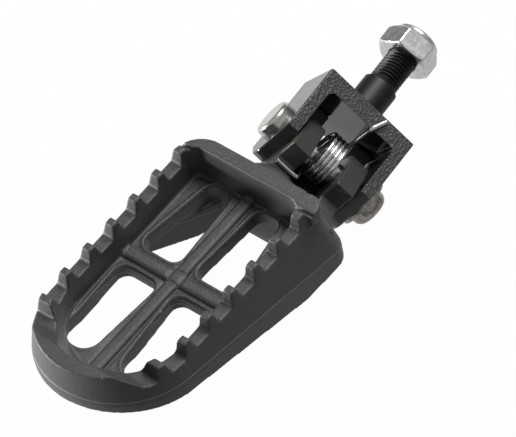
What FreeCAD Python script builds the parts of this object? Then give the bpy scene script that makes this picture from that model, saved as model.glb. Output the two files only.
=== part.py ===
import FreeCAD, Part
import math
import os
import re

import Sketcher

V = FreeCAD.Vector

# Folding footpeg, left side. Frame: X outboard along the peg, Y to the rear of the bike, Z up,
# origin at the centre of the clevis bracket's back face, where the mounting stud leaves it.

SIZES = {
    # clevis bracket, measured in its own frame: X outboard, Y along the hinge pin, Z up
    "bracket_width": 35.5,
    "bracket_height": 21.2,
    "plate_thickness": 5.9,
    "ear_thickness": 4.2,
    "hinge_reach": 21.6,
    "ear_top_reach": 2.3,
    "ear_nose_reach": 11.5,
    "ear_nose_drop": 1.0,
    "ear_toe_reach": 7.5,
    "ear_nose_radius": 4.0,
    "bracket_edge_radius": 0.6,
    "bracket_corner_radius": 1.5,
    "stop_tab_drop": 7.0,
    "stop_tab_width": 18.0,
    # how the bracket lies to the deck
    "hinge_roll": 40.0,
    "hinge_sweep": 3.5,
    # mounting stud, lock nut and nylon insert
    "shoulder_diameter": 12.0,
    "shoulder_length": 12.3,
    "shoulder_chamfer": 0.8,
    "thread_diameter": 10.0,
    "thread_pitch": 1.25,
    "stud_length": 34.4,
    "stud_spigot_depth": 4.0,
    "stud_seat_clearance": 0.02,
    "nut_start": 23.4,
    "nut_roll": 8.0,
    "nut_flats": 17.0,
    "nut_hex_height": 7.6,
    "nut_height": 9.6,
    "nut_collar_diameter": 15.4,
    "nut_collar_round": 0.7,
    "nut_chamfer": 1.0,
    "nut_thread_clearance": 0.02,
    "insert_diameter": 13.2,
    "insert_height": 2.4,
    "insert_recess": 0.3,
    # hinge pin, washer and push-on cap
    "pin_diameter": 8.0,
    "pin_head_diameter": 13.0,
    "pin_head_height": 3.9,
    "pin_head_round": 1.3,
    "pin_running_clearance": 0.05,
    "pin_seat_clearance": 0.02,
    "washer_diameter": 17.0,
    "washer_thickness": 1.5,
    "washer_round": 0.4,
    "washer_clearance": 0.1,
    "pin_tail": 2.6,
    "pin_tail_chamfer": 0.8,
    "cap_diameter": 12.5,
    "cap_height": 4.35,
    "cap_wall": 1.0,
    "cap_round": 3.0,
    # return spring
    "wire_diameter": 1.5,
    "coil_mean_radius": 7.6,
    "coil_turns": 4.3,
    "coil_start_angle": 211.0,
    "coil_pitch": 1.58,
    "coil_lift": 2.4,
    "coil_setback": 1.2,
    "spring_seat_gap": 0.1,
    "spring_bend_radius": 2.0,
    "spring_tip_inset": 1.1,
    "spring_plate_tip_side": 6.1,
    "spring_neck_tip_side": 12.3,
    # lugs and neck of the peg, measured in the hinge's frame
    "lug_clearance": 0.65,
    "lug_thickness": 7.1,
    "lug_nose_radius": 8.5,
    "lug_facet_low": 7.0,
    "lug_facet_setback": 5.0,
    "lug_peak_height": 11.6,
    "lug_peak_reach": 6.3,
    "lug_foot_reach": 10.0,
    "neck_height": 5.2,
    "neck_depth": 9.5,
    "neck_start": 13.2,
    "neck_reach": 26.0,
    "neck_left": 20.0,
    "neck_right": 27.5,
    "neck_top": 14.0,
    "neck_lift": 0.5,
    "fork_depth": 13.8,
    "fork_floor": 7.3,
    "fork_web_rear": 3.0,
    "fork_corner_radius": 2.0,
    "stop_gap": 0.3,
    "heel_top": 4.0,
    "heel_bottom": 9.5,
    "heel_run": 4.0,
    # platform, measured from the hinge axis in the deck's frame
    "rim_height": 29.2,
    "toe_height": 31.8,
    "rim_rear": 26.3,
    "half_width": 24.7,
    "nose_reach": 119.3,
    "rear_corner_left": 10.7,
    "rear_corner_right": 6.5,
    "wall_draft": 11.0,
    "rim_thickness": 4.7,
    "wall_thickness": 3.2,
    "nose_thickness": 6.3,
    "lip_overhang": 2.8,
    "lip_length": 7.3,
    "lip_depth": 5.0,
    "lip_corner_radius": 4.0,
    "parting_height": 5.7,
    "parting_slope": 9.0,
    "skirt_bottom": -1.2,
    "skirt_kink": 43.0,
    "skirt_rise": 13.8,
    "belly_rear_wall": 6.7,
    "belly_corner_run": 31.3,
    "belly_corner_half": 10.8,
    "belly_half_low": 23.3,
    "belly_half_high": 21.0,
    # teeth
    "tooth_count": 7,
    "tooth_start_gap": 8.5,
    "tooth_end_gap": 6.2,
    "tooth_height": 4.9,
    "tooth_top": 2.6,
    "tooth_foot": 4.8,
    "tooth_round": 1.0,
    "front_pad_length": 12.3,
    "front_ramp_run": 6.2,
    "front_ramp_round": 3.5,
    "rear_notch_depth": 1.6,
    "rear_notch_flat": 0.2,
    # deck, ribs and openings
    "deck_drop": 12.6,
    "deck_thickness": 5.4,
    "deck_side_slope": 1.3,
    "deck_nose_slope": 4.9,
    "deck_rear_slope": 1.1,
    "tray_corner_radius": 5.0,
    "deck_corner_radius": 2.5,
    "bead_height": 1.2,
    "bead_width": 3.6,
    "bead_slope": 0.6,
    "cross_rib_width": 8.5,
    "cross_rib_place": 67.7,
    "opening_rear_gap": 6.9,
    "opening_front_gap": 15.8,
    "spine_half_mid": 3.2,
    "spine_half_rear": 5.2,
    "spine_half_front": 5.8,
    "opening_half_mid": 18.2,
    "opening_half_rear": 13.6,
    "opening_half_front": 17.2,
    "opening_radius": 3.5,
    "opening_nose_radius": 5.5,
    # how far cutters and hidden ends reach beyond the faces that they pass through
    "cut_overrun": 1.0,
}

doc = FreeCAD.newDocument("footpeg")
sheet = doc.addObject("Spreadsheet::Sheet", "Sizes")
for row, (name, value) in enumerate(SIZES.items(), start=1):
    sheet.set("A%d" % row, name)
    sheet.set("B%d" % row, str(value))
    sheet.setAlias("B%d" % row, name)
doc.recompute()


def size(name):
    """A driving dimension, read back from the sheet."""
    return float(getattr(sheet, name))


def tangent(angle):
    return math.tan(math.radians(angle))


# Placements

HINGE_TURN = (FreeCAD.Rotation(V(1, 0, 0), -size("hinge_roll"))
              * FreeCAD.Rotation(V(0, 0, 1), size("hinge_sweep")))
BRACKET_PLACE = FreeCAD.Placement(V(0, 0, 0), HINGE_TURN)
HINGE_POINT = BRACKET_PLACE.multVec(V(size("hinge_reach"), 0, 0))
HINGE_PLACE = FreeCAD.Placement(HINGE_POINT, HINGE_TURN)
PEG_PLACE = FreeCAD.Placement(HINGE_POINT, FreeCAD.Rotation())


# Helpers for bodies and sketches

def new_body(name):
    body = doc.addObject("PartDesign::Body", name)
    body.Label = name
    return body


def plane_of(body, role):
    return next(f for f in body.Origin.OriginFeatures if f.Role == role)


def new_sketch(body, role, name):
    sketch = body.newObject("Sketcher::SketchObject", name)
    sketch.AttachmentSupport = [(plane_of(body, role), "")]
    sketch.MapMode = "FlatFace"
    return sketch


def bind(formula):
    """A formula over the plain names of the sizes, as an expression over the sheet."""
    return re.sub(r"[a-z]+(_[a-z]+)+", lambda found: "Sizes." + found.group(0), formula)


def draw_polygon(sketch, corners):
    """A closed polygon whose corners are held by formulas over the sizes."""
    count = len(corners)
    start = [V(math.cos(2 * math.pi * i / count), math.sin(2 * math.pi * i / count), 0)
             for i in range(count)]
    lines = [sketch.addGeometry(Part.LineSegment(start[i], start[(i + 1) % count]), False)
             for i in range(count)]
    for i, line in enumerate(lines):
        sketch.addConstraint(Sketcher.Constraint("Coincident", line, 2, lines[(i + 1) % count], 1))
    for line, corner, place in zip(lines, corners, start):
        for kind, formula, value in zip(("DistanceX", "DistanceY"), corner, place):
            index = sketch.addConstraint(Sketcher.Constraint(kind, line, 1, value))
            sketch.setExpression("Constraints[%d]" % index, bind(formula))


def draw_circle(sketch, centre, radius):
    """A circle whose centre lies on the sketch's first axis."""
    circle = sketch.addGeometry(Part.Circle(V(1, 0, 0), V(0, 0, 1), 1), False)
    sketch.addConstraint(Sketcher.Constraint("PointOnObject", circle, 3, -1))
    across = sketch.addConstraint(Sketcher.Constraint("DistanceX", circle, 3, 1))
    sketch.setExpression("Constraints[%d]" % across, bind(centre))
    wide = sketch.addConstraint(Sketcher.Constraint("Radius", circle, 1))
    sketch.setExpression("Constraints[%d]" % wide, bind(radius))


def straight(body, kind, name, sketch, length):
    """A Pad or Pocket to both sides of its sketch."""
    feature = body.newObject("PartDesign::" + kind, name)
    feature.Profile = sketch
    feature.Type = "Length"
    feature.SideType = "Symmetric"
    feature.setExpression("Length", bind(length))
    doc.recompute()
    return feature


def around(body, kind, name, sketch, axis):
    """A Revolution or Groove through the full turn about one axis of its sketch."""
    feature = body.newObject("PartDesign::" + kind, name)
    feature.Profile = sketch
    feature.ReferenceAxis = (sketch, [axis])
    feature.Angle = 360
    doc.recompute()
    return feature


def soften(body, kind, name, base, amount, wanted):
    """A Fillet or Chamfer on the edges of the base that are wanted."""
    edges = ["Edge%d" % (i + 1) for i, edge in enumerate(base.Shape.Edges) if wanted(edge)]
    feature = body.newObject("PartDesign::" + kind, name)
    feature.Base = (base, edges)
    feature.setExpression("Radius" if kind == "Fillet" else "Size", bind(amount))
    doc.recompute()
    return feature


def turned(name, axis, profile):
    """A turned piece: half its section in the XY plane, about X (H_Axis) or Y (V_Axis)."""
    body = new_body(name)
    sketch = new_sketch(body, "XY_Plane", name + "_section")
    draw_polygon(sketch, profile)
    return body, around(body, "Revolution", name + "_turned", sketch, axis)


def circle_at(along, axis, radius):
    """Picks the round edges of one radius at one place along an axis."""
    def wanted(edge):
        if not isinstance(edge.Curve, Part.Circle):
            return False
        return abs(edge.Curve.Radius - radius) < 0.01 and abs(edge.Curve.Center[axis] - along) < 0.01
    return wanted


# Clevis bracket

def make_bracket():
    body = new_body("clevis_bracket")
    side = new_sketch(body, "XZ_Plane", "bracket_side")
    draw_polygon(side, [
        ("0", "-bracket_height / 2"),
        ("hinge_reach + ear_toe_reach", "-bracket_height / 2"),
        ("hinge_reach + ear_nose_reach", "-ear_nose_drop - ear_nose_radius"),
        ("hinge_reach + ear_nose_reach", "-ear_nose_drop"),
        ("hinge_reach + ear_top_reach", "bracket_height / 2"),
        ("0", "bracket_height / 2"),
    ])
    block = straight(body, "Pad", "bracket_block", side, "bracket_width")
    nose_from = size("hinge_reach") + size("ear_nose_reach") - 0.01
    half = size("bracket_width") / 2

    def on_nose(edge):
        return edge.BoundBox.XMin > nose_from and edge.BoundBox.YLength > half

    def on_side(edge):
        return min(abs(v.Y) for v in edge.Vertexes) > half - 0.01 and edge.BoundBox.YLength < 0.01

    noses = soften(body, "Fillet", "ear_noses", block, "ear_nose_radius", on_nose)
    soften(body, "Fillet", "outer_edges", noses, "bracket_edge_radius", on_side)
    fork = new_sketch(body, "XY_Plane", "bracket_fork")
    draw_polygon(fork, [
        ("plate_thickness", "-bracket_width / 2 + ear_thickness"),
        ("hinge_reach + 2 * ear_nose_reach", "-bracket_width / 2 + ear_thickness"),
        ("hinge_reach + 2 * ear_nose_reach", "bracket_width / 2 - ear_thickness"),
        ("plate_thickness", "bracket_width / 2 - ear_thickness"),
    ])
    slot = straight(body, "Pocket", "fork_slot", fork, "bracket_height * 2")
    inner = half - size("ear_thickness")

    def in_slot_corner(edge):
        middle = edge.CenterOfMass
        return (edge.BoundBox.ZLength > size("bracket_height") - 0.01
                and abs(abs(middle.y) - inner) < 0.01 and abs(middle.x - size("plate_thickness")) < 0.01)

    soften(body, "Fillet", "slot_corners", slot, "bracket_corner_radius", in_slot_corner)
    tab = new_sketch(body, "XZ_Plane", "stop_tab_side")
    draw_polygon(tab, [
        ("0", "-bracket_height / 2 - stop_tab_drop"),
        ("plate_thickness", "-bracket_height / 2 - stop_tab_drop"),
        ("plate_thickness", "-bracket_height / 2 + cut_overrun"),
        ("0", "-bracket_height / 2 + cut_overrun"),
    ])
    straight(body, "Pad", "stop_tab", tab, "stop_tab_width")
    eye = new_sketch(body, "XZ_Plane", "pin_eye")
    draw_circle(eye, "hinge_reach", "pin_diameter / 2 + pin_seat_clearance")
    straight(body, "Pocket", "pin_bores", eye, "bracket_width * 2")
    seat = new_sketch(body, "XY_Plane", "stud_seat_section")
    draw_polygon(seat, [
        ("0", "0"),
        ("stud_spigot_depth", "0"),
        ("stud_spigot_depth", "thread_diameter / 2 + stud_seat_clearance"),
        ("0", "thread_diameter / 2 + stud_seat_clearance"),
    ])
    around(body, "Groove", "stud_seat", seat, "H_Axis")
    body.Placement = BRACKET_PLACE
    return body


# Mounting stud with its lock nut

def make_stud():
    body, _ = turned("mounting_stud", "H_Axis", [
        ("stud_spigot_depth - stud_seat_clearance", "0"),
        ("stud_spigot_depth - stud_seat_clearance", "thread_diameter / 2"),
        ("0", "thread_diameter / 2"),
        ("0", "shoulder_diameter / 2"),
        ("-shoulder_length + shoulder_chamfer", "shoulder_diameter / 2"),
        ("-shoulder_length", "shoulder_diameter / 2 - shoulder_chamfer"),
        ("-shoulder_length", "thread_diameter / 2"),
        ("-stud_length + thread_pitch", "thread_diameter / 2"),
        ("-stud_length", "thread_diameter / 2 - thread_pitch"),
        ("-stud_length", "0"),
    ])
    body.Placement = BRACKET_PLACE
    return body


def nut_place():
    """Where the nut has stopped turning on the stud."""
    turn = FreeCAD.Rotation(V(1, 0, 0), size("nut_roll"))
    return BRACKET_PLACE.multiply(FreeCAD.Placement(V(-size("nut_start"), 0, 0), turn))


def make_nut():
    body = new_body("lock_nut")
    hexagon = new_sketch(body, "YZ_Plane", "nut_hexagon")
    corner = "nut_flats / sqrt(3)"
    draw_polygon(hexagon, [
        (corner, "0"),
        (corner + " / 2", "nut_flats / 2"),
        ("-" + corner + " / 2", "nut_flats / 2"),
        ("-" + corner, "0"),
        ("-" + corner + " / 2", "-nut_flats / 2"),
        (corner + " / 2", "-nut_flats / 2"),
    ])
    block = body.newObject("PartDesign::Pad", "nut_block")
    block.Profile = hexagon
    block.Reversed = True
    block.setExpression("Length", bind("nut_hex_height"))
    doc.recompute()
    collar = new_sketch(body, "XY_Plane", "nut_collar_section")
    draw_polygon(collar, [
        ("-nut_hex_height / 2", "0"),
        ("-nut_hex_height / 2", "nut_collar_diameter / 2"),
        ("-nut_height + nut_collar_round", "nut_collar_diameter / 2"),
        ("-nut_height", "nut_collar_diameter / 2 - nut_collar_round"),
        ("-nut_height", "0"),
    ])
    around(body, "Revolution", "nut_collar", collar, "H_Axis")
    cuts = new_sketch(body, "XY_Plane", "nut_cuts_section")
    rim = "nut_flats / 2 * 0.97"
    draw_polygon(cuts, [
        ("0", rim),
        ("-nut_chamfer", "nut_flats / sqrt(3)"),
        ("0", "nut_flats / sqrt(3)"),
    ])
    draw_polygon(cuts, [
        ("-nut_hex_height", rim),
        ("-nut_hex_height", "nut_flats / sqrt(3)"),
        ("-nut_hex_height + nut_chamfer", "nut_flats / sqrt(3)"),
    ])
    draw_polygon(cuts, [
        ("0", "0"),
        ("0", "thread_diameter / 2 + nut_thread_clearance"),
        ("-nut_height + insert_height", "thread_diameter / 2 + nut_thread_clearance"),
        ("-nut_height + insert_height", "insert_diameter / 2"),
        ("-nut_height", "insert_diameter / 2"),
        ("-nut_height", "0"),
    ])
    around(body, "Groove", "nut_cuts", cuts, "H_Axis")
    body.Placement = nut_place()
    return body


def make_insert():
    body, _ = turned("nut_insert", "H_Axis", [
        ("-nut_height + insert_height", "thread_diameter / 2 + nut_thread_clearance"),
        ("-nut_height + insert_height", "insert_diameter / 2"),
        ("-nut_height + insert_recess", "insert_diameter / 2"),
        ("-nut_height + insert_recess", "thread_diameter / 2 + nut_thread_clearance"),
    ])
    body.Placement = nut_place()
    return body


# Hinge pin, its washer and its push-on cap

def make_pin():
    body, pin = turned("hinge_pin", "V_Axis", [
        ("0", "-bracket_width / 2 - pin_head_height"),
        ("pin_head_diameter / 2", "-bracket_width / 2 - pin_head_height"),
        ("pin_head_diameter / 2", "-bracket_width / 2"),
        ("pin_diameter / 2", "-bracket_width / 2"),
        ("pin_diameter / 2", "bracket_width / 2 + washer_thickness + pin_tail - pin_tail_chamfer"),
        ("pin_diameter / 2 - pin_tail_chamfer", "bracket_width / 2 + washer_thickness + pin_tail"),
        ("0", "bracket_width / 2 + washer_thickness + pin_tail"),
    ])
    soften(body, "Fillet", "pin_head_edge", pin, "pin_head_round",
           circle_at(-size("bracket_width") / 2 - size("pin_head_height"), 1, size("pin_head_diameter") / 2))
    body.Placement = HINGE_PLACE
    return body


def make_washer():
    body, ring = turned("pin_washer", "V_Axis", [
        ("pin_diameter / 2 + washer_clearance", "bracket_width / 2"),
        ("washer_diameter / 2", "bracket_width / 2"),
        ("washer_diameter / 2", "bracket_width / 2 + washer_thickness"),
        ("pin_diameter / 2 + washer_clearance", "bracket_width / 2 + washer_thickness"),
    ])
    soften(body, "Fillet", "washer_edge", ring, "washer_round",
           circle_at(size("bracket_width") / 2 + size("washer_thickness"), 1, size("washer_diameter") / 2))
    body.Placement = HINGE_PLACE
    return body


def make_cap():
    seat = "bracket_width / 2 + washer_thickness"
    body, cup = turned("pin_cap", "V_Axis", [
        ("pin_diameter / 2 + pin_seat_clearance", seat),
        ("cap_diameter / 2", seat),
        ("cap_diameter / 2", seat + " + cap_height"),
        ("0", seat + " + cap_height"),
        ("0", seat + " + cap_height - cap_wall"),
        ("cap_diameter / 2 - cap_wall", seat + " + cap_height - cap_wall"),
        ("cap_diameter / 2 - cap_wall", seat + " + cap_wall"),
        ("pin_diameter / 2 + pin_seat_clearance", seat + " + cap_wall"),
    ])
    top = size("bracket_width") / 2 + size("washer_thickness") + size("cap_height")
    dome = soften(body, "Fillet", "cap_dome", cup, "cap_round", circle_at(top, 1, size("cap_diameter") / 2))
    soften(body, "Fillet", "cap_inside", dome, "cap_round - cap_wall",
           circle_at(top - size("cap_wall"), 1, size("cap_diameter") / 2 - size("cap_wall")))
    body.Placement = HINGE_PLACE
    return body


# Return spring

def rounded_corner(before, corner, after, radius):
    """Points of an arc of about the radius that replaces a corner."""
    into = (before - corner).normalize()
    out = (after - corner).normalize()
    setback = radius / math.tan(into.getAngle(out) / 2)
    first = corner + into * setback
    last = corner + out * setback
    inward = (into + out).normalize()
    centre = corner + inward * (radius / math.sin(into.getAngle(out) / 2))
    middle = centre - inward * radius
    return first, middle, last


def make_spring():
    wire = size("wire_diameter") / 2
    radius = size("coil_mean_radius")
    centre = V(-size("coil_setback"), 0, size("coil_lift"))
    half_run = size("coil_turns") * size("coil_pitch") / 2
    first = math.radians(size("coil_start_angle"))
    last = first + 2 * math.pi * size("coil_turns")

    def on_coil(angle):
        along = half_run - (angle - first) / (2 * math.pi) * size("coil_pitch")
        return centre + V(radius * math.cos(angle), along, radius * math.sin(angle))

    def heading(angle):
        fall = -size("coil_pitch") / (2 * math.pi)
        return V(-radius * math.sin(angle), fall, radius * math.cos(angle)).normalize()

    plate_top = size("bracket_height") / 2 + wire + size("spring_seat_gap")
    neck_top = size("neck_height") + wire + size("spring_seat_gap")
    start, end = on_coil(first), on_coil(last)
    rise = heading(first)
    over_plate = start - rise * ((start.z - plate_top) / rise.z)
    plate_tip = V(-size("hinge_reach") + size("spring_tip_inset"), size("spring_plate_tip_side"), plate_top)
    climb = heading(last)
    over_neck = end + climb * ((neck_top - end.z) / climb.z)
    neck_tip = V(over_neck.x, -size("spring_neck_tip_side"), neck_top)
    bend = size("spring_bend_radius")
    a, b, c = rounded_corner(plate_tip, over_plate, start, bend)
    d, e, f = rounded_corner(end, over_neck, neck_tip, bend)
    quarters = int(math.ceil(4 * size("coil_turns")))
    angles = [first + (last - first) * i / (2 * quarters) for i in range(2 * quarters + 1)]
    coil = [Part.Arc(on_coil(angles[i]), on_coil(angles[i + 1]), on_coil(angles[i + 2])).toShape()
            for i in range(0, 2 * quarters, 2)]
    leg_in = [Part.LineSegment(plate_tip, a), Part.Arc(a, b, c), Part.LineSegment(c, start)]
    leg_out = [Part.LineSegment(end, d), Part.Arc(d, e, f), Part.LineSegment(f, neck_tip)]
    centreline = Part.Wire([piece.toShape() for piece in leg_in] + coil
                           + [piece.toShape() for piece in leg_out])
    section = Part.Wire([Part.makeCircle(wire, plate_tip, a - plate_tip)])
    spring = doc.addObject("Part::Feature", "return_spring")
    spring.Shape = centreline.makePipeShell([section], True, False)
    spring.Placement = HINGE_PLACE
    return spring


# Peg platform: deck, walls with teeth, skirt, neck and hinge lugs in one casting

def prism(corners, travel):
    return Part.Face(Part.makePolygon(corners + corners[:1])).extrude(travel)


def stadium(height, rear, half, centre, corner):
    """Outline at one height: straight rear with rounded corners and a half-round nose."""
    slant = corner * (1 - math.sqrt(0.5))
    left, right, turn = -half, half, rear + corner

    def at(x, y):
        return V(x, y, height)

    return Part.Wire([
        Part.LineSegment(at(turn, left), at(centre, left)).toShape(),
        Part.Arc(at(centre, left), at(centre + half, 0), at(centre, right)).toShape(),
        Part.LineSegment(at(centre, right), at(turn, right)).toShape(),
        Part.Arc(at(turn, right), at(rear + slant, right - slant), at(rear, right - corner)).toShape(),
        Part.LineSegment(at(rear, right - corner), at(rear, left + corner)).toShape(),
        Part.Arc(at(rear, left + corner), at(rear + slant, left + slant), at(turn, left)).toShape(),
    ])


def drafted_block():
    """The casting's outside before it is trimmed: all walls lean outward from the toe down."""
    top, foot = size("toe_height"), size("skirt_bottom") - size("wall_thickness")
    lean = tangent(size("wall_draft"))
    rear, half = size("rim_rear"), size("half_width")
    centre = size("nose_reach") - half

    def ring(height):
        grow = (size("rim_height") - height) * lean
        return [V(rear - grow, -half - grow, height), V(centre, -half - grow, height),
                V(centre, half + grow, height), V(rear - grow, half + grow, height)]

    low, high = ring(foot), ring(top)
    sides = [[low[i], low[(i + 1) % 4], high[(i + 1) % 4], high[i]] for i in range(4)]
    faces = [Part.Face(Part.makePolygon(corners + corners[:1])) for corners in sides + [low, high]]
    block = Part.makeSolid(Part.makeShell(faces))
    for name, way in (("rear_corner_left", -1), ("rear_corner_right", 1)):
        corner = [edge for edge in block.Edges if edge.BoundBox.ZLength > half
                  and edge.CenterOfMass.x < (rear + centre) / 2 and way * edge.CenterOfMass.y > 0]
        block = block.makeFillet(size(name), corner)
    nose = Part.makeCone(low[2].y, high[2].y, top - foot, V(centre, 0, foot))
    return block.fuse(nose).removeSplitter()


def between(low, high, share):
    return low + (high - low) * share


def hollow(low, high):
    """A tapered hollow between two levels: height, rear, half width, nose reach and corner."""
    outlines = [stadium(height, rear, half, reach - half, corner)
                for height, rear, half, reach, corner in (low, high)]
    return Part.makeLoft(outlines, True, True)


def skirt_line(x):
    """Height of the lower edge, level at the rear and rising to the nose."""
    return size("skirt_bottom") + max(0, x - size("skirt_kink")) * tangent(size("skirt_rise"))


def make_belly(deck_nose):
    """The hollow under the deck, its rear corners closed by walls that run in to the neck."""
    over = size("cut_overrun")
    low, high = size("skirt_bottom") - over, size("rim_height") - size("deck_drop") - size("deck_thickness")
    rear, side = size("rim_rear") + size("belly_rear_wall"), size("half_width")
    corner = size("deck_corner_radius")
    belly = hollow((low, rear, size("belly_half_low"), deck_nose, corner),
                   (high, rear, size("belly_half_high"), deck_nose, corner))
    closed = [prism([V(rear - over, way * size("belly_corner_half"), low - over),
                     V(rear, way * size("belly_corner_half"), low - over),
                     V(rear + size("belly_corner_run"), way * side, low - over),
                     V(rear - over, way * side, low - over)], V(0, 0, high - low + 2 * over))
              for way in (-1, 1)]
    return belly.cut(closed)


def front_pad_end():
    """Where the level rims end and the nose's pad begins to rise."""
    return size("nose_reach") - size("front_pad_length")


def make_shell():
    far = 3 * size("nose_reach")
    top, deck = size("rim_height"), size("rim_height") - size("deck_drop")
    lean = drafted_block()
    parting = [V(x, -far, size("parting_height") + (x - size("rim_rear")) * tangent(size("parting_slope")))
               for x in (-far, far)]
    above = prism(parting + [V(far, -far, far), V(-far, -far, far)], V(0, 2 * far, 0))
    upper = lean.common(above)
    floor = next(face for face in upper.Faces
                 if face.CenterOfMass.z < deck and abs(face.normalAt(0, 0).z) > 0.9)
    lower = floor.extrude(V(0, 0, -far))
    under = prism([
        V(-far, -far, size("skirt_bottom")),
        V(size("skirt_kink"), -far, size("skirt_bottom")),
        V(far, -far, skirt_line(far)),
        V(far, -far, -2 * far),
        V(-far, -far, -2 * far),
    ], V(0, 2 * far, 0))
    shell = upper.fuse(lower.cut(under))
    over = size("toe_height") + size("cut_overrun")
    extra = (over - deck) / size("deck_drop")
    rim_rear = size("rim_rear") + size("rim_thickness")
    deck_rear = rim_rear + size("deck_rear_slope")
    rim_half = size("half_width") - size("wall_thickness")
    rim_nose = size("nose_reach") - size("nose_thickness")
    deck_half = rim_half - size("deck_side_slope")
    deck_nose = rim_nose - size("deck_nose_slope")
    tray = hollow((deck, deck_rear, deck_half, deck_nose, size("deck_corner_radius")),
                  (over, between(deck_rear, rim_rear, extra), between(deck_half, rim_half, extra),
                   between(deck_nose, rim_nose, extra), size("tray_corner_radius")))
    level = prism([V(-far, -far, top), V(front_pad_end(), -far, top),
                   V(front_pad_end(), far, top), V(-far, far, top)], V(0, 0, far))
    return shell.cut([tray, make_belly(deck_nose), level])


def valley(start, end, slope_start, slope_end, floor, top):
    """Cutter across the walls between two teeth, its foot edges rounded."""
    over = top + size("cut_overrun")
    corners = [
        V(start - slope_start * (over - floor), 0, over),
        V(start, 0, floor),
        V(end, 0, floor),
        V(end + slope_end * (over - floor), 0, over),
    ]
    reach = 2 * size("half_width")
    return prism([corner - V(0, reach, 0) for corner in corners], V(0, 2 * reach, 0))


def rounded_valley(cutter, floor, radii):
    """Rounds the foot edges of a cutter, nearest the rear first."""
    feet = sorted((edge for edge in cutter.Edges if edge.BoundBox.ZMax < floor + 0.01
                   and edge.BoundBox.YLength > size("half_width")), key=lambda edge: edge.CenterOfMass.x)
    for foot, radius in zip(feet, radii):
        near = [edge for edge in cutter.Edges
                if (edge.CenterOfMass - foot.CenterOfMass).Length < 0.01]
        cutter = cutter.makeFillet(radius, near)
    return cutter


def tooth_cutters():
    top, toe = size("rim_height"), size("toe_height")
    floor = top - size("tooth_height")
    flank = (size("tooth_foot") - size("tooth_top")) / 2 / size("tooth_height")
    half_foot = size("tooth_foot") / 2
    first = size("rim_rear") + size("tooth_start_gap")
    last = front_pad_end() - size("tooth_end_gap")
    gaps = int(size("tooth_count")) - 1
    pitch = (last - first) / gaps
    cutters = []
    for i in range(gaps):
        start = first + i * pitch
        cutter = valley(start + half_foot, start + pitch - half_foot, flank, flank, floor, top)
        cutters.append(rounded_valley(cutter, floor, [size("tooth_round")] * 2))
    ramp = size("front_ramp_run") / (toe - floor)
    cutter = valley(last + half_foot, front_pad_end(), flank, ramp, floor, toe)
    cutters.append(rounded_valley(cutter, floor, [size("tooth_round"), size("front_ramp_round")]))
    bar = size("rim_rear") + size("rim_thickness") + size("deck_rear_slope")
    notch_end = first - size("tooth_top") / 2
    half_flat = size("rear_notch_flat") / 2
    middle = (bar + notch_end) / 2
    steep = (notch_end - bar) / 2 / size("rear_notch_depth")
    cutters.append(valley(middle - half_flat, middle + half_flat, steep, steep,
                          top - size("rear_notch_depth"), top))
    return cutters


def opening(corners, radii):
    """A cutter down through the deck and its beads with rounded corners."""
    over = size("rim_height") - size("deck_drop") + 2 * size("bead_height")
    depth = size("deck_thickness") + 3 * size("bead_height")
    cutter = prism([V(x, y, over) for x, y in corners], V(0, 0, -depth))
    for (x, y), radius in zip(corners, radii):
        edges = [edge for edge in cutter.Edges if edge.BoundBox.ZLength > depth - 0.01
                 and abs(edge.CenterOfMass.x - x) < 0.01 and abs(edge.CenterOfMass.y - y) < 0.01]
        cutter = cutter.makeFillet(radius, edges)
    return cutter


def deck_openings():
    middle = size("cross_rib_place")
    behind = size("rim_rear") + size("opening_rear_gap")
    ahead = size("nose_reach") - size("opening_front_gap")
    half_rib = size("cross_rib_width") / 2
    radius, wide = size("opening_radius"), size("opening_nose_radius")
    cutters = []
    for side in (-1, 1):
        rear = [(behind, side * size("spine_half_rear")),
                (middle - half_rib, side * size("spine_half_mid")),
                (middle - half_rib, side * size("opening_half_mid")),
                (behind, side * size("opening_half_rear"))]
        front = [(middle + half_rib, side * size("spine_half_mid")),
                 (ahead, side * size("spine_half_front")),
                 (ahead, side * size("opening_half_front")),
                 (middle + half_rib, side * size("opening_half_mid"))]
        cutters.append(opening(rear, [radius] * 4))
        cutters.append(opening(front, [radius, wide, wide, radius]))
    return cutters


def bead(start, end):
    """A raised bead on the deck between two points, its sides sloped."""
    deck = size("rim_height") - size("deck_drop")
    travel = end - start
    across = V(-travel.y, travel.x, 0).normalize()
    half = size("bead_width") / 2
    foot = half + size("bead_slope") * 2
    rise = V(0, 0, size("bead_height"))
    sink = V(0, 0, -size("bead_height"))
    place = start + V(0, 0, deck)
    return prism([place + across * foot + sink, place + across * half + rise,
                  place - across * half + rise, place - across * foot + sink], travel)


def lip():
    """The rim bar's rear end stands out past the side wall and slopes back down into it."""
    top, back = size("rim_height"), size("rim_rear")
    side = size("half_width") - size("wall_thickness")
    reach = size("half_width") + size("lip_overhang")
    edge = top - size("lip_depth")
    block = prism([V(back, side, top), V(back, reach, top), V(back, reach, edge),
                   V(back, side, edge - (reach - side))], V(size("lip_length"), 0, 0))
    corner = [line for line in block.Edges
              if abs(line.CenterOfMass.x - back) < 0.01 and line.CenterOfMass.y > reach - 0.01]
    return block.makeFillet(size("lip_corner_radius"), corner)


def in_hinge(x, y, z):
    """A point of the hinge's frame, seen from the platform's axes."""
    return HINGE_TURN.multVec(V(x, y, z))


def neck():
    """Gusset that twists from the lugs' tilt to the upright rear wall."""
    outer = size("bracket_width") / 2 - size("ear_thickness") - size("lug_clearance")
    start = size("neck_start")
    root = [in_hinge(start, outer, size("neck_height")), in_hinge(start, -outer, size("neck_height")),
            in_hinge(start, -outer, -size("neck_depth")), in_hinge(start, outer, -size("neck_depth"))]
    end = size("neck_reach")
    low = size("skirt_bottom") + size("neck_lift")
    wall = [V(end, size("neck_right"), size("neck_top")), V(end, -size("neck_left"), size("neck_top")),
            V(end, -size("neck_left"), low), V(end, size("neck_right"), low)]
    return Part.makeLoft([Part.makePolygon(corners + corners[:1]) for corners in (root, wall)], True, True)


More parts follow.
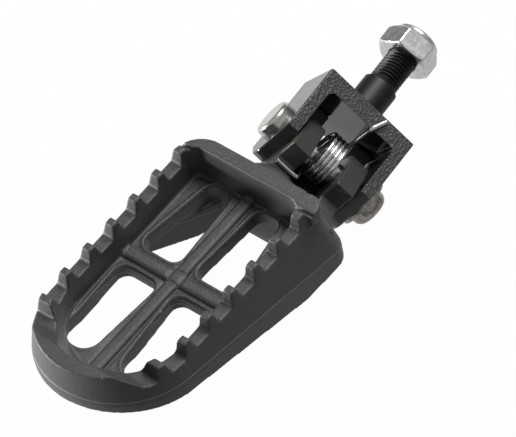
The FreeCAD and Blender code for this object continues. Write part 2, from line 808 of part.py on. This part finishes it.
def lug_block():
    """Both lugs before the fork is cut: facets above, a nose about the pin and a heel."""
    outer = size("bracket_width") / 2 - size("ear_thickness") - size("lug_clearance")
    nose = size("lug_nose_radius")
    heel = -(size("hinge_reach") - size("plate_thickness") - size("stop_gap"))
    top_angle = math.atan2(size("lug_facet_low"), -size("lug_facet_setback"))
    low_angle = math.pi + math.asin(size("heel_top") / nose)

    def on_nose(angle):
        return V(nose * math.cos(angle), -outer, nose * math.sin(angle))

    start = size("neck_start") + size("cut_overrun")
    outline = [
        V(start, -outer, -size("neck_depth")),
        V(start, -outer, size("neck_height")),
        V(size("lug_foot_reach"), -outer, size("neck_height")),
        V(size("lug_peak_reach"), -outer, size("lug_peak_height")),
        on_nose(top_angle),
    ]
    after = [
        on_nose(low_angle),
        V(heel, -outer, -size("heel_top")),
        V(heel, -outer, -size("heel_bottom")),
        V(-size("heel_run"), -outer, -size("heel_bottom")),
        outline[0],
    ]
    edges = [Part.LineSegment(a, b).toShape() for a, b in zip(outline, outline[1:])]
    edges.append(Part.Arc(outline[-1], on_nose((top_angle + low_angle) / 2), after[0]).toShape())
    edges += [Part.LineSegment(a, b).toShape() for a, b in zip(after, after[1:])]
    return Part.Face(Part.Wire(edges)).extrude(V(0, 2 * outer, 0))


def hinge_cuts():
    """The spring's pocket between the lugs, open below behind its web, and the pin's bore."""
    outer = size("bracket_width") / 2 - size("ear_thickness") - size("lug_clearance")
    half = outer - size("lug_thickness")
    far = size("hinge_reach")
    fork = Part.makeBox(far + size("fork_depth"), 2 * half, 4 * far, V(-far, -half, -size("fork_floor")))
    ends = [edge for edge in fork.Edges
            if edge.BoundBox.ZLength > far and abs(edge.CenterOfMass.x - size("fork_depth")) < 0.01]
    fork = fork.makeFillet(size("fork_corner_radius"), ends)
    gap = Part.makeBox(far - size("fork_web_rear"), 2 * half, 4 * far, V(-far, -half, -2 * far))
    bore = Part.makeCylinder(size("pin_diameter") / 2 + size("pin_running_clearance"), 4 * far,
                             V(0, -2 * far, 0), V(0, 1, 0))
    return [fork, gap, bore]


def tilted(shape):
    """A shape of the hinge's frame, turned to the platform's axes."""
    shape.Placement = FreeCAD.Placement(V(0, 0, 0), HINGE_TURN)
    return shape


def make_platform():
    shell = make_shell()
    rear = size("rim_rear") + size("rim_thickness") / 2
    nose = size("nose_reach") - size("nose_thickness") - size("deck_nose_slope") + size("cut_overrun")
    half = size("half_width") - size("wall_thickness") / 2
    middle = size("cross_rib_place")
    beads = [bead(V(rear, 0, 0), V(nose, 0, 0)), bead(V(middle, -half, 0), V(middle, half, 0))]
    platform = shell.fuse(beads + [lip(), neck(), tilted(lug_block())])
    platform = platform.cut(tooth_cutters() + deck_openings() + [tilted(cut) for cut in hinge_cuts()])
    casting = doc.addObject("Part::Feature", "peg_platform")
    casting.Shape = platform.removeSplitter()
    casting.Placement = PEG_PLACE
    return casting


pieces = [make_platform(), make_bracket(), make_stud(), make_nut(), make_insert(),
          make_pin(), make_washer(), make_cap(), make_spring()]
doc.recompute()

for item in doc.Objects:
    if "Invalid" in item.State or "Error" in item.State:
        raise ValueError("%s did not compute: %s" % (item.Name, item.State))

os.makedirs("parts", exist_ok=True)
for piece in pieces:
    if piece.Shape.isNull() or not piece.Shape.isValid():
        raise ValueError("%s has no valid shape" % piece.Name)
    piece.Label = piece.Name
    piece.Shape.exportStep("parts/%s.step" % piece.Name)
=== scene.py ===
import math

import bpy
import numpy as np
from mathutils import Euler, Matrix, Vector


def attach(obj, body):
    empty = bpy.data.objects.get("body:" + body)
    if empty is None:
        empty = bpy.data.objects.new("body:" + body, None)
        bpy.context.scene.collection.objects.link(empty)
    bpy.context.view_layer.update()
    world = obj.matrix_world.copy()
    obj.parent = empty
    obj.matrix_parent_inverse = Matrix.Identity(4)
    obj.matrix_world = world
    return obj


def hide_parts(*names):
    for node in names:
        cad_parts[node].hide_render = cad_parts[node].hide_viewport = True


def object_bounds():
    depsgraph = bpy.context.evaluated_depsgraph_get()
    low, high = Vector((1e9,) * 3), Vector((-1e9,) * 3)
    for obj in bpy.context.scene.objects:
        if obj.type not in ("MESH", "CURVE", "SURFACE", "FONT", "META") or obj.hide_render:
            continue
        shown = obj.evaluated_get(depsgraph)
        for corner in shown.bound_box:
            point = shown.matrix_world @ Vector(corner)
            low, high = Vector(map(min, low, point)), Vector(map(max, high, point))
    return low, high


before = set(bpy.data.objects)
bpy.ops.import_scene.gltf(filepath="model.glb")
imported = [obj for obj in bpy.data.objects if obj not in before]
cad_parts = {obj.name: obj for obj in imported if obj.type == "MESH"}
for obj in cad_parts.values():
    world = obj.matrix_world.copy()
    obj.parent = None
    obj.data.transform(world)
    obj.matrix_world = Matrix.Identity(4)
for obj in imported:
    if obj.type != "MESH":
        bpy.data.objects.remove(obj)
cad_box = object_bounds()

MM = 0.001

# The hinge's centre in mm; the platform's own measures start there.
HINGE = (21.56, 1.01, -0.85)

# The bracket lies tilted to the deck; its own frame has X outboard and Y along the hinge pin.
BRACKET = Matrix.Rotation(math.radians(-40), 4, "X") @ Matrix.Rotation(math.radians(3.5), 4, "Z")
BRACKET_X = BRACKET.col[0].to_3d()
BRACKET_Z = BRACKET.col[2].to_3d()

# Places in the bracket's frame in mm: where the machined hinge lugs end along its X, and the height
# above which its coat is wrinkled.
LUGS_END = 33.5
WRINKLED_ABOVE = 10.45

# The moulds of the casting parted at a plane that rises to the nose. Its height in mm is taken at the
# rear of the rim; both are measured from the hinge.
PARTING_RISE = math.radians(10)
PARTING_HEIGHT = 5.7
RIM_REAR = 26.3
PARTING = Vector((-math.sin(PARTING_RISE), 0, math.cos(PARTING_RISE)))
PARTING_LEVEL = PARTING.dot(Vector((HINGE[0] + RIM_REAR, 0, HINGE[2] + PARTING_HEIGHT))) * MM


# Camera, at the photograph's angle and with its narrow field of view

view = bpy.data.cameras.new("photo_camera")
view.sensor_width = 36
view.lens = 311.6
view.clip_end = 20
camera = bpy.data.objects.new("photo_camera", view)
camera.location = (0.60565, 0.63372, 1.09211)
camera.rotation_euler = Euler([math.radians(a) for a in (36.9915, 7.8649, 128.5092)], "XYZ")
bpy.context.scene.collection.objects.link(camera)
bpy.context.scene.camera = camera
bpy.context.scene.view_settings.view_transform = "Standard"


# Helpers for node materials

class Nodes:
    """Adds nodes to one tree and joins them up."""

    def __init__(self, tree):
        self.tree = tree
        tree.nodes.clear()

    def add(self, kind, inputs=(), **settings):
        made = self.tree.nodes.new(kind)
        for name, value in settings.items():
            setattr(made, name, value)
        for name, value in dict(inputs).items():
            if isinstance(value, bpy.types.NodeSocket):
                self.tree.links.new(value, made.inputs[name])
            else:
                made.inputs[name].default_value = value
        return made

    def math(self, operation, a, b=0.0):
        return self.add("ShaderNodeMath", {0: a, 1: b}, operation=operation).outputs[0]

    def noise(self, place, scale, detail=2.0, roughness=0.5, distortion=0.0):
        made = self.add("ShaderNodeTexNoise", {"Vector": place, "Scale": scale, "Detail": detail,
                                               "Roughness": roughness, "Distortion": distortion})
        return made.outputs["Fac"]

    def ramp(self, factor, stops):
        made = self.add("ShaderNodeValToRGB", {"Fac": factor})
        elements = made.color_ramp.elements
        while len(elements) < len(stops):
            elements.new(0.5)
        for element, (place, value) in zip(elements, stops):
            element.position = place
            element.color = value if isinstance(value, tuple) else (value, value, value, 1)
        return made.outputs["Color"]

    def spread(self, value, low, high, to_low=0.0, to_high=1.0):
        made = self.add("ShaderNodeMapRange", {"Value": value, "From Min": low, "From Max": high,
                                               "To Min": to_low, "To Max": to_high})
        return made.outputs["Result"]

    def mix(self, factor, a, b):
        return self.add("ShaderNodeMix", {0: factor, 6: a, 7: b}, data_type="RGBA").outputs[2]

    def blend(self, factor, a, b):
        return self.add("ShaderNodeMix", {0: factor, 2: a, 3: b}, data_type="FLOAT").outputs[0]

    def along(self, place, axis):
        """Distance along an axis, in metres."""
        made = self.add("ShaderNodeVectorMath", {0: place, 1: tuple(axis)}, operation="DOT_PRODUCT")
        return made.outputs["Value"]

    def bump(self, height, strength, distance, normal=None):
        inputs = {"Height": height, "Strength": strength, "Distance": distance}
        if normal is not None:
            inputs["Normal"] = normal
        return self.add("ShaderNodeBump", inputs).outputs["Normal"]


def material(name):
    made = bpy.data.materials.new(name)
    made.use_nodes = True
    nodes = Nodes(made.node_tree)
    place = nodes.add("ShaderNodeTexCoord").outputs["Object"]
    return made, nodes, place


def close(nodes, **inputs):
    """The Principled shader, with spaces in its input names written as underscores."""
    named = {name.replace("_", " "): value for name, value in inputs.items()}
    shader = nodes.add("ShaderNodeBsdfPrincipled", named)
    nodes.add("ShaderNodeOutputMaterial", {"Surface": shader.outputs[0]})


def grey(value, warm=0.0):
    return (value * (1 + warm), value, value * (1 - warm), 1)


# Materials

def cast_coat():
    """Fine-grained matt coat of the casting; smoother and darker on the machined hinge lugs."""
    made, nodes, place = material("charcoal_coat")
    grain = nodes.noise(place, 2300, 3, 0.65)
    flecks = nodes.noise(place, 3400, 1, 0.5)
    cloud = nodes.noise(place, 60, 3, 0.6)
    outboard = nodes.along(place, BRACKET_X)
    lugs = nodes.spread(outboard, (LUGS_END - 1) * MM, (LUGS_END + 1) * MM, 1.0, 0.0)
    surface = nodes.add("ShaderNodeNewGeometry").outputs
    facing = nodes.add("ShaderNodeSeparateXYZ", {0: surface["Normal"]})
    level = nodes.spread(facing.outputs["Z"], 0.3, 0.8)
    colour = nodes.ramp(grain, [(0.3, grey(0.04)), (0.7, grey(0.085))])
    # The coat's own bright flecks, plus painted glints: the flecks are made much stronger on faces that
    # look up, as light from above would catch them.
    flecks_and_top_glints = nodes.math("MULTIPLY", nodes.spread(flecks, 0.58, 0.72),
                       nodes.spread(level, 0.0, 1.0, 0.1, 0.8))
    # Painted shade: faces that look up are darkened, to tone down the light that falls on them.
    colour = nodes.mix(nodes.math("MULTIPLY", level, 0.36), colour, grey(0.02))
    colour = nodes.mix(flecks_and_top_glints, colour, grey(0.22))
    colour = nodes.mix(nodes.spread(cloud, 0.3, 0.7, 0.0, 0.25), colour, grey(0.04))
    worn = nodes.math("MULTIPLY", nodes.spread(surface["Pointiness"], 0.53, 0.62),
                      nodes.spread(grain, 0.35, 0.6, 0.15, 0.7))
    colour = nodes.mix(worn, colour, grey(0.2))
    seam = nodes.math("SUBTRACT", nodes.along(place, PARTING), PARTING_LEVEL)
    line = nodes.spread(nodes.math("ABSOLUTE", seam), 0.00015, 0.00045, 1.0, 0.0)
    line = nodes.math("MULTIPLY", line, nodes.spread(level, 0.0, 0.5, 1.0, 0.0))
    broken = nodes.math("MULTIPLY", line, nodes.spread(grain, 0.4, 0.6, 0.4, 0.9))
    colour = nodes.mix(broken, colour, grey(0.22))
    # Painted light: the band below the seam is made lighter, as though it caught more light than the
    # wall above it.
    painted_light_below_seam = nodes.math("MULTIPLY", nodes.spread(seam, -0.0004, -0.0001, 1.0, 0.0), 0.35)
    colour = nodes.mix(painted_light_below_seam, colour, grey(0.1))
    colour = nodes.mix(lugs, colour, grey(0.047, 0.06))
    roughness = nodes.blend(lugs, nodes.spread(grain, 0.3, 0.7, 0.4, 0.55), 0.32)
    rough = nodes.bump(grain, nodes.spread(lugs, 0.0, 1.0, 0.5, 0.06), 0.00012)
    rough = nodes.bump(cloud, 0.25, 0.0003, rough)
    rough = nodes.bump(line, 0.6, 0.0003, rough)
    close(nodes, Base_Color=colour, Roughness=roughness, Normal=rough, Specular_IOR_Level=0.4)
    return made


def bracket_black():
    """Gloss black: wrinkled on the upper face, smooth on all others."""
    made, nodes, place = material("bracket_black")
    level = nodes.along(place, BRACKET_Z)
    top = nodes.spread(level, (WRINKLED_ABOVE - 0.1) * MM, (WRINKLED_ABOVE + 0.1) * MM)
    cells = nodes.add("ShaderNodeTexVoronoi",
                      {"Vector": place, "Scale": 1150.0, "Smoothness": 0.7},
                      feature="SMOOTH_F1").outputs["Distance"]
    folds = nodes.noise(place, 1400, 2, 0.6, 1.4)
    wrinkle = nodes.math("ADD", cells, nodes.math("MULTIPLY", folds, 0.8))
    waves = nodes.noise(place, 140, 2, 0.5)
    colour = nodes.ramp(folds, [(0.3, grey(0.01)), (0.7, grey(0.018))])
    upper = nodes.ramp(folds, [(0.35, grey(0.03)), (0.7, grey(0.07, 0.02))])
    colour = nodes.mix(top, colour, upper)
    roughness = nodes.blend(top, nodes.spread(waves, 0.3, 0.7, 0.12, 0.2), 0.3)
    rounded = nodes.add("ShaderNodeBevel", {"Radius": 0.0003}, samples=4).outputs[0]
    normal = nodes.bump(waves, 0.3, 0.0001, rounded)
    normal = nodes.bump(wrinkle, nodes.spread(top, 0.0, 1.0, 0.0, 0.8), 0.0003, normal)
    close(nodes, Base_Color=colour, Roughness=roughness, Normal=normal,
          Specular_IOR_Level=nodes.blend(top, 1.0, 0.5))
    return made


def metal(name, low, high, rough_low, rough_high, scale, stretch=(1, 1, 1), warm=0.0,
          depth=0.00002):
    """Bare or plated metal, with marks that run along one direction of the bracket."""
    made, nodes, place = material(name)
    turned = nodes.add("ShaderNodeMapping", {"Vector": place, "Scale": stretch,
                                             "Rotation": tuple(BRACKET.inverted().to_euler())})
    marks = nodes.noise(turned.outputs[0], scale, 4, 0.6)
    stains = nodes.noise(place, 180, 2, 0.5)
    colour = nodes.ramp(marks, [(0.3, grey(low, warm)), (0.7, grey(high, warm))])
    colour = nodes.mix(nodes.spread(stains, 0.45, 0.75, 0.0, 0.35), colour, grey(low, warm * 2))
    roughness = nodes.spread(marks, 0.3, 0.7, rough_low, rough_high)
    rounded = nodes.add("ShaderNodeBevel", {"Radius": 0.00025}, samples=4).outputs[0]
    normal = nodes.bump(marks, 0.4, depth, rounded)
    close(nodes, Base_Color=colour, Roughness=roughness, Normal=normal, Metallic=1.0)
    return made


def nylon():
    made, nodes, place = material("natural_nylon")
    cloud = nodes.noise(place, 400, 2, 0.5)
    colour = nodes.ramp(cloud, [(0.3, (0.72, 0.71, 0.66, 1)), (0.7, (0.82, 0.81, 0.77, 1))])
    close(nodes, Base_Color=colour, Roughness=nodes.spread(cloud, 0.3, 0.7, 0.35, 0.5),
          Normal=nodes.bump(cloud, 0.2, 0.0001), Subsurface_Weight=0.15, Subsurface_Scale=0.001)
    return made


def dress(name, look):
    """Gives a carried-over CAD node its material."""
    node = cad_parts[name]
    if not node.material_slots:
        node.data.materials.append(look)
    for place in node.material_slots:
        place.material = look


def add_piece(name, mesh, look, body, stands_for):
    piece = bpy.data.objects.new(name, mesh)
    mesh.materials.clear()
    mesh.materials.append(look)
    bpy.context.scene.collection.objects.link(piece)
    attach(piece, body)
    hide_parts(stands_for)
    return piece


# The casting, with the soft edges and blended corners of a cast and coated part

# Measures of the deck in mm from the hinge: its height, where it starts and ends, half its width, the
# cross bar's place and half the width of the ribs at their foot.
DECK = 16.6
DECK_START = 31.5
DECK_END = 108.5
DECK_HALF = 20.4
RIB_PLACE = 67.7
RIB_FOOT = 2.3

# The openings on one side of the spine, by the x, y and radius of their corners.
OPENINGS = [
    [(33.2, 5.2, 3.5), (63.45, 3.2, 3.5), (63.45, 18.2, 3.5), (33.2, 13.6, 3.5)],
    [(71.95, 3.2, 3.5), (103.5, 5.8, 5.5), (103.5, 17.2, 5.5), (71.95, 18.2, 3.5)],
]


def rounded_outline(corners):
    """Points along a closed outline with rounded corners, given as x, y and radius."""
    parts = 8
    path = []
    for i, (x, y, radius) in enumerate(corners):
        here = Vector((x, y))
        back = (Vector(corners[i - 1][:2]) - here).normalized()
        ahead = (Vector(corners[(i + 1) % len(corners)][:2]) - here).normalized()
        half = back.angle(ahead) / 2
        centre = here + (back + ahead).normalized() * (radius / math.sin(half))
        first = here + back * (radius / math.tan(half)) - centre
        last = here + ahead * (radius / math.tan(half)) - centre
        for k in range(parts + 1):
            path.append(centre + (first * (parts - k) + last * k).normalized() * radius)
    return np.array([tuple(point) for point in path])


def distance(points, outline):
    """Distance of points in a plane from a closed outline."""
    nearest = np.full(len(points), np.inf)
    for a, b in zip(outline, np.roll(outline, -1, axis=0)):
        along = b - a
        share = np.clip((points - a) @ along / max(along @ along, 1e-9), 0, 1)
        nearest = np.minimum(nearest, np.linalg.norm(points - a - share[:, None] * along, axis=1))
    return nearest


def bell(value, centre, width):
    """A soft bump of height 1."""
    return np.exp(-((value - centre) / width) ** 2)


def work_deck(mesh):
    """Raises a soft lip round each opening, rounds its edge and sinks a run beside each rib."""
    points = np.empty(len(mesh.vertices) * 3, dtype=np.float32)
    normals = np.empty_like(points)
    mesh.vertices.foreach_get("co", points)
    mesh.vertices.foreach_get("normal", normals)
    points, normals = points.reshape(-1, 3).astype(float), normals.reshape(-1, 3)
    place = points / MM - HINGE
    plan = np.column_stack((place[:, 0], np.abs(place[:, 1])))
    chosen = ((normals[:, 2] > 0.6) & (np.abs(place[:, 2] - DECK) < 1.6)
              & (plan[:, 0] > DECK_START) & (plan[:, 0] < DECK_END) & (plan[:, 1] < DECK_HALF))
    plan = plan[chosen]
    edge = np.minimum(*[distance(plan, rounded_outline(corners)) for corners in OPENINGS])
    beside_spine = bell(plan[:, 1], RIB_FOOT, 0.6)
    beside_cross = bell(np.abs(plan[:, 0] - RIB_PLACE), RIB_FOOT, 0.6)
    lip = 0.4 * bell(edge, 0.8, 0.6) - 0.3 * bell(edge, 0, 0.4)
    run = 0.45 * np.maximum(beside_spine, beside_cross) * (edge > 0.4)
    fade = np.clip((DECK_HALF - plan[:, 1]) / 1.2, 0, 1)
    points[chosen, 2] += (lip - run) * fade * MM
    points[:, 2] = np.minimum(points[:, 2], cad_box[1][2] - 0.01 * MM)
    mesh.vertices.foreach_set("co", points.astype(np.float32).ravel())
    mesh.update()


def soften(piece, voxel, rounds):
    """Turns a piece into one skin, with voxels of a size in mm, and smooths it some times."""
    weld = piece.modifiers.new("weld", "WELD")
    weld.merge_threshold = 0.001 * MM
    skin = piece.modifiers.new("skin", "REMESH")
    skin.mode = "VOXEL"
    skin.voxel_size = voxel * MM
    skin.use_smooth_shade = True
    soft = piece.modifiers.new("soft_edges", "SMOOTH")
    soft.factor = 0.5
    soft.iterations = rounds


def make_casting():
    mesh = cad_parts["peg_platform"].data.copy()
    casting = add_piece("platform_casting", mesh, cast_coat(), "peg",
                        "peg_platform")
    soften(casting, 0.4, 3)
    dressed = casting.evaluated_get(bpy.context.evaluated_depsgraph_get())
    casting.data = bpy.data.meshes.new_from_object(dressed)
    casting.modifiers.clear()
    work_deck(casting.data)
    blend = casting.modifiers.new("soft_lips", "SMOOTH")
    blend.factor = 0.5
    blend.iterations = 2
    fewer = casting.modifiers.new("fewer_faces", "DECIMATE")
    fewer.ratio = 0.42


# The nut, with the rounded corners of a formed and plated one

def make_nut():
    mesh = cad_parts["lock_nut"].data.copy()
    look = metal("zinc_plate", 0.56, 0.78, 0.16, 0.24, 500, warm=0.02)
    nut = add_piece("rounded_nut", mesh, look, "bracket", "lock_nut")
    soften(nut, 0.2, 12)


# The stud, its thread cut as a right-hand helix

# Measures in mm, along the stud from the bracket's back face
SPIGOT_RADIUS = 4.98
SPIGOT_LENGTH = 3.98
SHOULDER_RADIUS = 6.0
SHOULDER_LENGTH = 11.5
SHOULDER_CHAMFER = 0.5
THREAD_RADIUS = 5.0
THREAD_START = 12.3
THREAD_PITCH = 1.25
THREAD_DEPTH = 0.77
POINT_START = 33.1
STUD_END = 34.4


def thread_radius(along, turn):
    """Radius of the stud in mm at a place along it and a part of a turn about it."""
    if along < 0:
        return SPIGOT_RADIUS
    if along < SHOULDER_CHAMFER:
        return SHOULDER_RADIUS - SHOULDER_CHAMFER + along
    if along < SHOULDER_LENGTH:
        return SHOULDER_RADIUS
    if along < THREAD_START:
        return SHOULDER_RADIUS - (along - SHOULDER_LENGTH)
    wave = abs((-along / THREAD_PITCH - turn) % 1 * 2 - 1)
    flank = min(1, max(0, (wave - 0.1) / 0.75))
    depth = THREAD_DEPTH * min(1, along - THREAD_START)
    crest = THREAD_RADIUS - max(0, along - POINT_START)
    return crest - depth * (1 - flank)


def make_stud():
    steps = [-SPIGOT_LENGTH, -0.01, 0.0, SHOULDER_CHAMFER, 6.0, SHOULDER_LENGTH, THREAD_START]
    steps += [THREAD_START + 0.01 + 0.13 * i for i in range(170)] + [STUD_END]
    around = 56
    points, faces = [], []
    for along in steps:
        for i in range(around):
            angle = 2 * math.pi * i / around
            radius = thread_radius(along, i / around)
            local = Vector((-along, radius * math.cos(angle), radius * math.sin(angle)))
            points.append(BRACKET @ (local * MM))
    for ring in range(len(steps) - 1):
        for i in range(around):
            j = (i + 1) % around
            a, b = ring * around, (ring + 1) * around
            faces.append((a + i, a + j, b + j, b + i))
    last = (len(steps) - 1) * around
    faces.append(tuple(reversed(range(around))))
    faces.append(tuple(last + i for i in range(around)))
    mesh = bpy.data.meshes.new("threaded_stud")
    mesh.from_pydata(points, [], faces)
    mesh.shade_smooth()
    mesh.set_sharp_from_angle(angle=math.radians(38))
    look = metal("black_oxide", 0.022, 0.045, 0.42, 0.55, 900, (1, 8, 8), depth=0.00001)
    add_piece("threaded_stud", mesh, look, "bracket", "mounting_stud")


make_casting()
make_nut()
make_stud()

dress("clevis_bracket", bracket_black())
dress("nut_insert", nylon())
dress("hinge_pin", metal("polished_steel", 0.4, 0.6, 0.14, 0.26, 700, warm=0.04))
browned = metal("browned_steel", 0.14, 0.42, 0.16, 0.3, 700, warm=0.09)
for name in ("pin_washer", "pin_cap"):
    dress(name, browned)
dress("return_spring", metal("bright_wire", 0.5, 0.74, 0.12, 0.2, 1500))


# Floor, light and surroundings

# The floor is plain white to the camera and in reflections, but for this share, which takes the shadow.
SHADED = 0.04

bpy.ops.mesh.primitive_plane_add(size=4, location=(0.07, 0, cad_box[0][2] - 0.5 * MM))
floor = bpy.context.object
floor.name = "floor"
made = bpy.data.materials.new("pale_floor")
made.use_nodes = True
nodes = Nodes(made.node_tree)
path = nodes.add("ShaderNodeLightPath")
seen = nodes.math("MAXIMUM", path.outputs["Is Camera Ray"], path.outputs["Is Glossy Ray"])
seen = nodes.math("MAXIMUM", seen, path.outputs["Is Transmission Ray"])
paper = nodes.add("ShaderNodeBsdfDiffuse", {"Color": grey(0.35)})
across = nodes.add("ShaderNodeSeparateXYZ", {0: nodes.add("ShaderNodeTexCoord").outputs["Object"]})
card = nodes.ramp(nodes.spread(across.outputs["Y"], -0.08, 0.1),
                  [(0.0, grey(1.0)), (1.0, grey(0.3))])
card = nodes.mix(path.outputs["Is Camera Ray"], card, grey(1.0))
white = nodes.add("ShaderNodeEmission", {"Color": card, "Strength": 1.02})
both = nodes.add("ShaderNodeMixShader", {0: nodes.math("MULTIPLY", seen, 1 - SHADED),
                                         1: paper.outputs[0], 2: white.outputs[0]})
nodes.add("ShaderNodeOutputMaterial", {"Surface": both.outputs[0]})
floor.data.materials.append(made)

world = bpy.data.worlds.new("studio")
bpy.context.scene.world = world
world.use_nodes = True
nodes = Nodes(world.node_tree)
path = nodes.add("ShaderNodeLightPath")
mirrored = nodes.math("MAXIMUM", path.outputs["Is Glossy Ray"], path.outputs["Is Transmission Ray"])
upward = nodes.add("ShaderNodeSeparateXYZ", {0: nodes.add("ShaderNodeTexCoord").outputs["Generated"]})
sky = nodes.ramp(upward.outputs["Z"], [(0.0, grey(0.22)), (0.25, grey(0.3)), (0.8, grey(0.6))])
dim = nodes.add("ShaderNodeBackground", {"Color": grey(1.0), "Strength": 0.14})
studio = nodes.add("ShaderNodeBackground", {"Color": sky, "Strength": 1.0})
full = nodes.add("ShaderNodeBackground", {"Color": grey(1.0), "Strength": 1.0})
both = nodes.add("ShaderNodeMixShader", {0: mirrored, 1: dim.outputs[0], 2: studio.outputs[0]})
both = nodes.add("ShaderNodeMixShader", {0: path.outputs["Is Camera Ray"], 1: both.outputs[0],
                                         2: full.outputs[0]})
nodes.add("ShaderNodeOutputWorld", {"Surface": both.outputs[0]})


def softbox(name, place, target, width, height, power):
    lamp = bpy.data.lights.new(name, "AREA")
    lamp.shape = "RECTANGLE"
    lamp.size = width
    lamp.size_y = height
    lamp.energy = power
    light = bpy.data.objects.new(name, lamp)
    light.location = place
    light.rotation_euler = (Vector(target) - Vector(place)).to_track_quat("-Z", "Y").to_euler()
    bpy.context.scene.collection.objects.link(light)


softbox("key_light", (-0.45, 0.02, 0.95), (0.06, 0, 0), 0.6, 0.6, 11.0)
softbox("side_light", (0.65, -0.75, 0.06), (0.08, 0, 0.01), 0.5, 0.12, 18.0)
